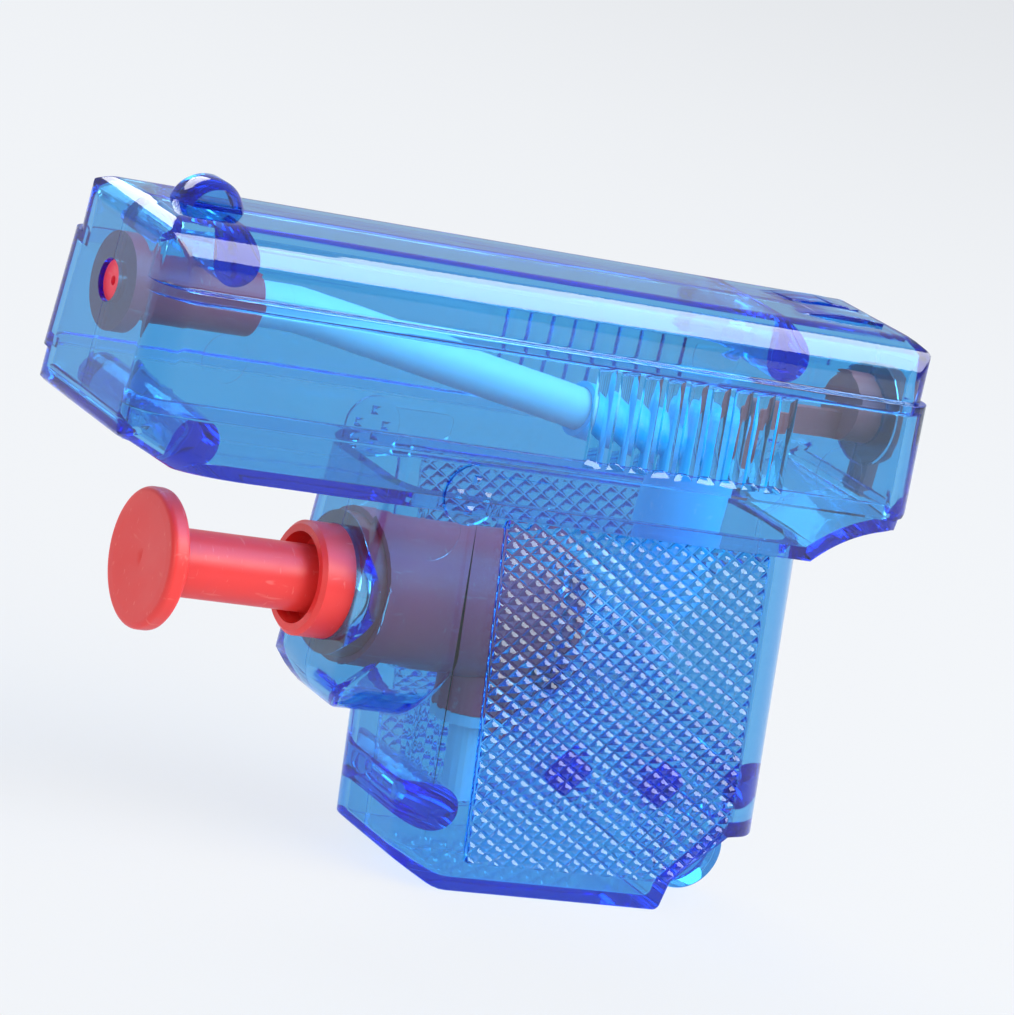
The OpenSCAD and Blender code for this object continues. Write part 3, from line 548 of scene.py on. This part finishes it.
def moulding_flow():
    """Slow waves left by the flow of the melt, and finer ripples, as one normal."""
    group = bpy.data.node_groups.new("moulding_flow", "ShaderNodeTree")
    sockets = group.interface
    sockets.new_socket("Wave Scale", in_out="INPUT", socket_type="NodeSocketFloat")
    sockets.new_socket("Wave Depth", in_out="INPUT", socket_type="NodeSocketFloat")
    sockets.new_socket("Ripple Scale", in_out="INPUT", socket_type="NodeSocketFloat")
    sockets.new_socket("Ripple Depth", in_out="INPUT", socket_type="NodeSocketFloat")
    sockets.new_socket("Normal", in_out="OUTPUT", socket_type="NodeSocketVector")
    sockets.new_socket("Roughness", in_out="OUTPUT", socket_type="NodeSocketFloat")
    start = group.nodes.new("NodeGroupInput")
    end = group.nodes.new("NodeGroupOutput")
    place = group.nodes.new("ShaderNodeTexCoord")
    wave = group.nodes.new("ShaderNodeTexNoise")
    ripple = group.nodes.new("ShaderNodeTexNoise")
    wave.inputs["Detail"].default_value = 1.0
    ripple.inputs["Detail"].default_value = 3.0
    wave_bump = group.nodes.new("ShaderNodeBump")
    ripple_bump = group.nodes.new("ShaderNodeBump")
    spread = group.nodes.new("ShaderNodeMapRange")
    spread.inputs["From Min"].default_value = 0.35
    spread.inputs["From Max"].default_value = 0.75
    spread.inputs["To Min"].default_value = 0.012
    spread.inputs["To Max"].default_value = 0.06
    wire = group.links.new
    wire(place.outputs["Object"], wave.inputs["Vector"])
    wire(place.outputs["Object"], ripple.inputs["Vector"])
    wire(start.outputs["Wave Scale"], wave.inputs["Scale"])
    wire(start.outputs["Ripple Scale"], ripple.inputs["Scale"])
    wire(wave.outputs["Fac"], wave_bump.inputs["Height"])
    wire(start.outputs["Wave Depth"], wave_bump.inputs["Distance"])
    wire(ripple.outputs["Fac"], ripple_bump.inputs["Height"])
    wire(start.outputs["Ripple Depth"], ripple_bump.inputs["Distance"])
    wire(wave_bump.outputs["Normal"], ripple_bump.inputs["Normal"])
    wire(ripple_bump.outputs["Normal"], end.inputs["Normal"])
    wire(ripple.outputs["Fac"], spread.inputs["Value"])
    wire(spread.outputs["Result"], end.inputs["Roughness"])
    return group


flow = moulding_flow()


def clear_styrene():
    material, tree, surface = blank_material("clear_blue_styrene")
    surface.inputs["Base Color"].default_value = (0.32, 0.7, 0.865, 1.0)
    surface.inputs["Transmission Weight"].default_value = 1.0
    surface.inputs["IOR"].default_value = 1.56
    marks = tree.nodes.new("ShaderNodeGroup")
    marks.node_tree = flow
    marks.inputs["Wave Scale"].default_value = 90.0
    marks.inputs["Wave Depth"].default_value = 0.00006
    marks.inputs["Ripple Scale"].default_value = 900.0
    marks.inputs["Ripple Depth"].default_value = 0.000002
    tint = tree.nodes.new("ShaderNodeVolumeAbsorption")
    tint.inputs["Color"].default_value = (0.25, 0.68, 0.96, 1.0)
    tint.inputs["Density"].default_value = 450.0
    path = tree.nodes.new("ShaderNodeLightPath")
    passing = tree.nodes.new("ShaderNodeBsdfTransparent")
    either = tree.nodes.new("ShaderNodeMixShader")
    output = tree.nodes["Material Output"]
    wire = tree.links.new
    wire(marks.outputs["Normal"], surface.inputs["Normal"])
    wire(marks.outputs["Roughness"], surface.inputs["Roughness"])
    wire(path.outputs["Is Shadow Ray"], either.inputs["Fac"])
    wire(surface.outputs["BSDF"], either.inputs[1])
    wire(passing.outputs["BSDF"], either.inputs[2])
    wire(either.outputs["Shader"], output.inputs["Surface"])
    wire(tint.outputs["Volume"], output.inputs["Volume"])
    return material


styrene = clear_styrene()
parted = whole_body()
half_shell(parted, -1, "left_shell", "clear_half_left")
half_shell(parted, 1, "right_shell", "clear_half_right")
bpy.data.objects.remove(parted)


# Red mouldings. The nozzle barrel, pump cylinder, gland collar and plunger are moulded in
# red polyethylene with a satin skin, which is lightly scratched where hands and the mould
# have touched it.
def satin_scuffs():
    """Satin skin: cloudy roughness, short fine scratches and a faint unevenness of colour."""
    group = bpy.data.node_groups.new("satin_scuffs", "ShaderNodeTree")
    sockets = group.interface
    sockets.new_socket("Color", in_out="INPUT", socket_type="NodeSocketColor")
    sockets.new_socket("Pale", in_out="INPUT", socket_type="NodeSocketColor")
    sockets.new_socket("Wear", in_out="INPUT", socket_type="NodeSocketFloat")
    sockets.new_socket("Roughness", in_out="INPUT", socket_type="NodeSocketFloat")
    sockets.new_socket("Color", in_out="OUTPUT", socket_type="NodeSocketColor")
    sockets.new_socket("Roughness", in_out="OUTPUT", socket_type="NodeSocketFloat")
    sockets.new_socket("Normal", in_out="OUTPUT", socket_type="NodeSocketVector")
    start = group.nodes.new("NodeGroupInput")
    end = group.nodes.new("NodeGroupOutput")
    place = group.nodes.new("ShaderNodeTexCoord")
    wire = group.links.new
    cloud = group.nodes.new("ShaderNodeTexNoise")
    cloud.inputs["Scale"].default_value = 420.0
    cloud.inputs["Detail"].default_value = 4.0
    wire(place.outputs["Object"], cloud.inputs["Vector"])
    scratches = None
    for turn, stretch in ((0.4, (2600.0, 240.0, 900.0)), (1.9, (300.0, 2400.0, 1100.0))):
        lay = group.nodes.new("ShaderNodeMapping")
        lay.inputs["Rotation"].default_value = (turn, 0.7 * turn, 1.3 * turn)
        lay.inputs["Scale"].default_value = stretch
        lines = group.nodes.new("ShaderNodeTexNoise")
        lines.inputs["Scale"].default_value = 1.0
        lines.inputs["Detail"].default_value = 2.0
        cut = group.nodes.new("ShaderNodeMapRange")
        cut.inputs["From Min"].default_value = 0.66
        cut.inputs["From Max"].default_value = 0.74
        wire(place.outputs["Object"], lay.inputs["Vector"])
        wire(lay.outputs["Vector"], lines.inputs["Vector"])
        wire(lines.outputs["Fac"], cut.inputs["Value"])
        if scratches is None:
            scratches = cut.outputs["Result"]
        else:
            both = group.nodes.new("ShaderNodeMath")
            both.operation = "MAXIMUM"
            wire(scratches, both.inputs[0])
            wire(cut.outputs["Result"], both.inputs[1])
            scratches = both.outputs["Value"]
    worn = group.nodes.new("ShaderNodeMath")
    worn.operation = "MULTIPLY"
    wire(scratches, worn.inputs[0])
    wire(start.outputs["Wear"], worn.inputs[1])
    paler = group.nodes.new("ShaderNodeMix")
    paler.data_type = "RGBA"
    wire(worn.outputs["Value"], paler.inputs["Factor"])
    wire(start.outputs["Color"], paler.inputs["A"])
    wire(start.outputs["Pale"], paler.inputs["B"])
    wire(paler.outputs["Result"], end.inputs["Color"])
    uneven = group.nodes.new("ShaderNodeMath")
    uneven.operation = "MULTIPLY_ADD"
    uneven.inputs[1].default_value = 0.22
    wire(cloud.outputs["Fac"], uneven.inputs[0])
    wire(start.outputs["Roughness"], uneven.inputs[2])
    rubbed = group.nodes.new("ShaderNodeMath")
    rubbed.operation = "MULTIPLY_ADD"
    rubbed.inputs[1].default_value = 0.2
    wire(worn.outputs["Value"], rubbed.inputs[0])
    wire(uneven.outputs["Value"], rubbed.inputs[2])
    wire(rubbed.outputs["Value"], end.inputs["Roughness"])
    bump = group.nodes.new("ShaderNodeBump")
    bump.inputs["Distance"].default_value = 0.00001
    bump.inputs["Strength"].default_value = 0.6
    wire(cloud.outputs["Fac"], bump.inputs["Height"])
    dents = group.nodes.new("ShaderNodeBump")
    dents.invert = True
    dents.inputs["Distance"].default_value = 0.00002
    dents.inputs["Strength"].default_value = 0.7
    wire(worn.outputs["Value"], dents.inputs["Height"])
    wire(bump.outputs["Normal"], dents.inputs["Normal"])
    wire(dents.outputs["Normal"], end.inputs["Normal"])
    return group


scuffs = satin_scuffs()


def satin_plastic(name, color, pale, wear, roughness):
    material, tree, surface = blank_material(name)
    skin = tree.nodes.new("ShaderNodeGroup")
    skin.node_tree = scuffs
    skin.inputs["Color"].default_value = (*color, 1.0)
    skin.inputs["Pale"].default_value = (*pale, 1.0)
    skin.inputs["Wear"].default_value = wear
    skin.inputs["Roughness"].default_value = roughness
    surface.inputs["IOR"].default_value = 1.5
    tree.links.new(skin.outputs["Color"], surface.inputs["Base Color"])
    tree.links.new(skin.outputs["Roughness"], surface.inputs["Roughness"])
    tree.links.new(skin.outputs["Normal"], surface.inputs["Normal"])
    return material


def finished(node_name, material):
    """Gives a CAD node its finish, in every slot."""
    for place in nodes[node_name].material_slots:
        place.material = material


red = satin_plastic("red_satin", (0.8, 0.035, 0.03), (0.9, 0.2, 0.16), 0.45, 0.28)
for name in ("gland_collar", "plunger"):
    finished(name, red)
# Painted light: the nozzle barrel and pump cylinder sit inside the tank. They get a lighter,
# pinker copy of the same red, standing in for the light that the clear walls hold back.
red_painted_lighter = satin_plastic("red_satin_painted_light", (0.96, 0.045, 0.08), (0.97, 0.25, 0.25), 0.45, 0.3)
for name in ("nozzle_barrel", "pump_cylinder"):
    finished(name, red_painted_lighter)


# Filler plug. One soft moulding: head with pull tab, stem, strap and cross-bar. It is
# pushed into the rear wall and pulled out to fill the tank.
finished("filler_plug", satin_plastic("red_soft", (0.92, 0.1, 0.08), (0.95, 0.28, 0.24),
                                      0.3, 0.4))


# Tubes. Delivery and suction tube are cut from soft milky hose, pushed on their spigots.
def milky_hose():
    material, tree, surface = blank_material("milky_hose")
    surface.inputs["Base Color"].default_value = (0.86, 0.95, 0.97, 1.0)
    surface.inputs["Transmission Weight"].default_value = 0.2
    surface.inputs["IOR"].default_value = 1.45
    haze = tree.nodes.new("ShaderNodeGroup")
    haze.node_tree = scuffs
    haze.inputs["Color"].default_value = (0.80, 0.93, 0.96, 1.0)
    haze.inputs["Pale"].default_value = (0.95, 0.98, 1.0, 1.0)
    haze.inputs["Wear"].default_value = 0.5
    haze.inputs["Roughness"].default_value = 0.3
    tree.links.new(haze.outputs["Color"], surface.inputs["Base Color"])
    tree.links.new(haze.outputs["Roughness"], surface.inputs["Roughness"])
    tree.links.new(haze.outputs["Normal"], surface.inputs["Normal"])
    return material


hose = milky_hose()
finished("delivery_tube", hose)
finished("suction_tube", hose)


# Valve bodies. The outlet elbow and the inlet valve body are moulded in natural, slightly
# cloudy plastic; the outlet connector over the elbow is moulded in light cyan.
natural = satin_plastic("natural_plastic", (0.55, 0.72, 0.78), (0.8, 0.9, 0.92), 0.3, 0.3)
finished("outlet_elbow", natural)
finished("inlet_valve_body", natural)
finished("outlet_connector", satin_plastic("cyan_plastic", (0.01, 0.62, 0.92),
                                           (0.3, 0.8, 0.95), 0.4, 0.25))


# Small parts inside the pump: black rubber ring, drawn spring wire and polished balls.
def rubber():
    material, tree, surface = blank_material("black_rubber")
    bloom = tree.nodes.new("ShaderNodeGroup")
    bloom.node_tree = scuffs
    bloom.inputs["Color"].default_value = (0.018, 0.018, 0.02, 1.0)
    bloom.inputs["Pale"].default_value = (0.07, 0.07, 0.075, 1.0)
    bloom.inputs["Wear"].default_value = 0.6
    bloom.inputs["Roughness"].default_value = 0.5
    tree.links.new(bloom.outputs["Color"], surface.inputs["Base Color"])
    tree.links.new(bloom.outputs["Roughness"], surface.inputs["Roughness"])
    tree.links.new(bloom.outputs["Normal"], surface.inputs["Normal"])
    return material


def steel(name, color, roughness):
    material, tree, surface = blank_material(name)
    surface.inputs["Metallic"].default_value = 1.0
    drawn = tree.nodes.new("ShaderNodeGroup")
    drawn.node_tree = scuffs
    drawn.inputs["Color"].default_value = (*color, 1.0)
    drawn.inputs["Pale"].default_value = (0.85, 0.86, 0.88, 1.0)
    drawn.inputs["Wear"].default_value = 0.4
    drawn.inputs["Roughness"].default_value = roughness
    tree.links.new(drawn.outputs["Color"], surface.inputs["Base Color"])
    tree.links.new(drawn.outputs["Roughness"], surface.inputs["Roughness"])
    tree.links.new(drawn.outputs["Normal"], surface.inputs["Normal"])
    return material


finished("piston_seal", rubber())
for name in ("inlet_ball", "outlet_ball"):
    finished(name, steel("ball_polish", (0.66, 0.67, 0.69), 0.05))


# Return spring. One drawn wire wound round the pump axis with close end coils. It stands
# between the piston and the cylinder's end; in the toy it shortens as the plunger goes in, here
# it is built at one length.
def wound_spring():
    low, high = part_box("return_spring")
    wire, mean_r, end_turns, free_turns, travel = 0.0007, 0.0043, 1, 5, 0.009
    length = high[0] - low[0]
    axis_y, axis_z = (low[1] + high[1]) / 2, (low[2] + high[2]) / 2
    end_pitch = wire + 0.00045
    free_pitch = (length - wire - 2 * end_turns * end_pitch) / free_turns
    turns = free_turns + 2 * end_turns
    per_turn, sides = 36, 12
    steps = per_turn * turns
    middle = []
    for step in range(steps + 1):
        turn = step / per_turn
        if turn < end_turns:
            rise = end_pitch * turn
        elif turn > turns - end_turns:
            rise = length - wire - end_pitch * (turns - turn)
        else:
            rise = end_pitch * end_turns + free_pitch * (turn - end_turns)
        angle = 2 * math.pi * turn
        middle.append(Vector((low[0] + wire / 2 + rise, axis_y + mean_r * math.sin(angle),
                              axis_z - mean_r * math.cos(angle))))
    net = bmesh.new()
    rings = []
    for step, point in enumerate(middle):
        before, after = middle[max(step - 1, 0)], middle[min(step + 1, steps)]
        outward = Vector((0.0, point.y - axis_y, point.z - axis_z)).normalized()
        across = (after - before).normalized().cross(outward)
        rings.append([net.verts.new(point + wire / 2 * (
            outward * math.cos(2 * math.pi * side / sides)
            + across * math.sin(2 * math.pi * side / sides))) for side in range(sides)])
    for ring, following in zip(rings, rings[1:]):
        for side in range(sides):
            beside = (side + 1) % sides
            net.faces.new((ring[side], ring[beside], following[beside], following[side]))
    net.faces.new(rings[0])
    net.faces.new(rings[-1])
    bmesh.ops.recalc_face_normals(net, faces=net.faces)
    for face in net.faces:
        face.smooth = len(face.verts) == 4
    mesh = bpy.data.meshes.new("wound_spring")
    net.to_mesh(mesh)
    net.free()
    mesh.materials.append(steel("spring_wire", (0.52, 0.53, 0.55), 0.18))
    spring = linked("wound_spring", mesh)
    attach(spring, "squirter_body")
    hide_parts("return_spring")
    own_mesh(spring)


wound_spring()


# Floor, background and light: one wide pale floor, a pale world and three soft lamps.
def background_share(tree, path):
    """How much of the pale background a ray sees: all of it, or a part in reflections."""
    mirrored = tree.nodes.new("ShaderNodeMath")
    mirrored.operation = "MULTIPLY"
    mirrored.inputs[1].default_value = 0.3
    seen = tree.nodes.new("ShaderNodeMath")
    seen.operation = "MAXIMUM"
    seen_too = tree.nodes.new("ShaderNodeMath")
    seen_too.operation = "MAXIMUM"
    tree.links.new(path.outputs["Is Glossy Ray"], mirrored.inputs[0])
    tree.links.new(path.outputs["Is Camera Ray"], seen.inputs[0])
    tree.links.new(mirrored.outputs["Value"], seen.inputs[1])
    tree.links.new(seen.outputs["Value"], seen_too.inputs[0])
    tree.links.new(path.outputs["Is Transmission Ray"], seen_too.inputs[1])
    return seen_too.outputs["Value"]


def pale_floor():
    net = bmesh.new()
    reach = 6.0
    corners = [(-reach, -reach), (reach, -reach), (reach, reach), (-reach, reach)]
    net.faces.new([net.verts.new((x, y, -0.0002)) for x, y in corners])
    mesh = bpy.data.meshes.new("floor")
    net.to_mesh(mesh)
    net.free()
    floor = linked("floor", mesh)
    material, tree, surface = blank_material("pale_floor")
    output = tree.nodes["Material Output"]
    surface.inputs["Base Color"].default_value = (0.62, 0.64, 0.66, 1.0)
    surface.inputs["Roughness"].default_value = 0.9
    surface.inputs["Specular IOR Level"].default_value = 0.0
    path = tree.nodes.new("ShaderNodeLightPath")
    glow = tree.nodes.new("ShaderNodeEmission")
    glow.inputs["Color"].default_value = (0.86, 0.88, 0.91, 1.0)
    keep = tree.nodes.new("ShaderNodeMath")
    keep.operation = "MULTIPLY"
    keep.inputs[1].default_value = 0.82
    mix = tree.nodes.new("ShaderNodeMixShader")
    wire = tree.links.new
    wire(background_share(tree, path), keep.inputs[0])
    wire(keep.outputs["Value"], mix.inputs["Fac"])
    wire(surface.outputs["BSDF"], mix.inputs[1])
    wire(glow.outputs["Emission"], mix.inputs[2])
    wire(mix.outputs["Shader"], output.inputs["Surface"])
    mesh.materials.append(material)


def pale_world():
    world = bpy.data.worlds.new("pale_world")
    bpy.context.scene.world = world
    world.use_nodes = True
    tree = world.node_tree
    tree.nodes.clear()
    path = tree.nodes.new("ShaderNodeLightPath")
    lit = tree.nodes.new("ShaderNodeBackground")
    lit.inputs["Color"].default_value = (0.95, 0.97, 1.0, 1.0)
    lit.inputs["Strength"].default_value = 0.42
    shown = tree.nodes.new("ShaderNodeBackground")
    shown.inputs["Color"].default_value = (0.86, 0.88, 0.91, 1.0)
    shown.inputs["Strength"].default_value = 1.0
    mix = tree.nodes.new("ShaderNodeMixShader")
    output = tree.nodes.new("ShaderNodeOutputWorld")
    wire = tree.links.new
    wire(background_share(tree, path), mix.inputs["Fac"])
    wire(lit.outputs["Background"], mix.inputs[1])
    wire(shown.outputs["Background"], mix.inputs[2])
    wire(mix.outputs["Shader"], output.inputs["Surface"])


def soft_lamp(name, place, aim, width, height, power):
    lamp = bpy.data.lights.new(name, "AREA")
    lamp.shape = "RECTANGLE"
    lamp.size = width
    lamp.size_y = height
    lamp.energy = power
    holder = linked(name, lamp)
    holder.location = place
    holder.rotation_euler = (Vector(aim) - Vector(place)).to_track_quat("-Z", "Y").to_euler()


pale_floor()
pale_world()
soft_lamp("key_softbox", (0.38, -0.34, 0.55), (0.0, 0.0, 0.03), 0.7, 0.6, 9.0)
soft_lamp("back_softbox", (-0.1, 0.6, 0.5), (0.0, 0.0, 0.03), 0.6, 0.3, 3.0)
soft_lamp("left_fill", (-0.55, -0.5, 0.35), (0.0, 0.0, 0.03), 0.4, 0.4, 1.4)
bpy.context.scene.cycles.max_bounces = 64
bpy.context.scene.cycles.transmission_bounces = 64
bpy.context.scene.cycles.glossy_bounces = 64
bpy.context.scene.cycles.transparent_max_bounces = 32


# Camera: a long lens from the front left, a little above, rolled as the photograph is.
def photograph_camera():
    round_angle = math.radians(31.51)
    rise = math.radians(12.78)
    roll = math.radians(15.44)
    distance = 0.4925
    target = Vector((-0.0029135, 0.0, 0.033))
    back = Vector((-math.sin(round_angle) * math.cos(rise),
                   -math.cos(round_angle) * math.cos(rise), math.sin(rise)))
    right = Vector((math.cos(round_angle), -math.sin(round_angle), 0.0))
    up = back.cross(right)
    across = right * math.cos(roll) + up * math.sin(roll)
    above = up * math.cos(roll) - right * math.sin(roll)
    lens = bpy.data.cameras.new("camera")
    lens.sensor_fit = "HORIZONTAL"
    lens.sensor_width = 36.0
    lens.lens = 183.40
    lens.shift_x = 0.06598
    lens.shift_y = 0.0215
    lens.clip_start = 0.01
    lens.clip_end = 50.0
    camera = linked("camera", lens)
    turn = Matrix((across, above, back)).transposed().to_4x4()
    camera.matrix_world = Matrix.Translation(target + back * distance) @ turn
    bpy.context.scene.camera = camera


photograph_camera()
bpy.context.scene.view_settings.view_transform = "Standard"
bpy.context.view_layer.update()
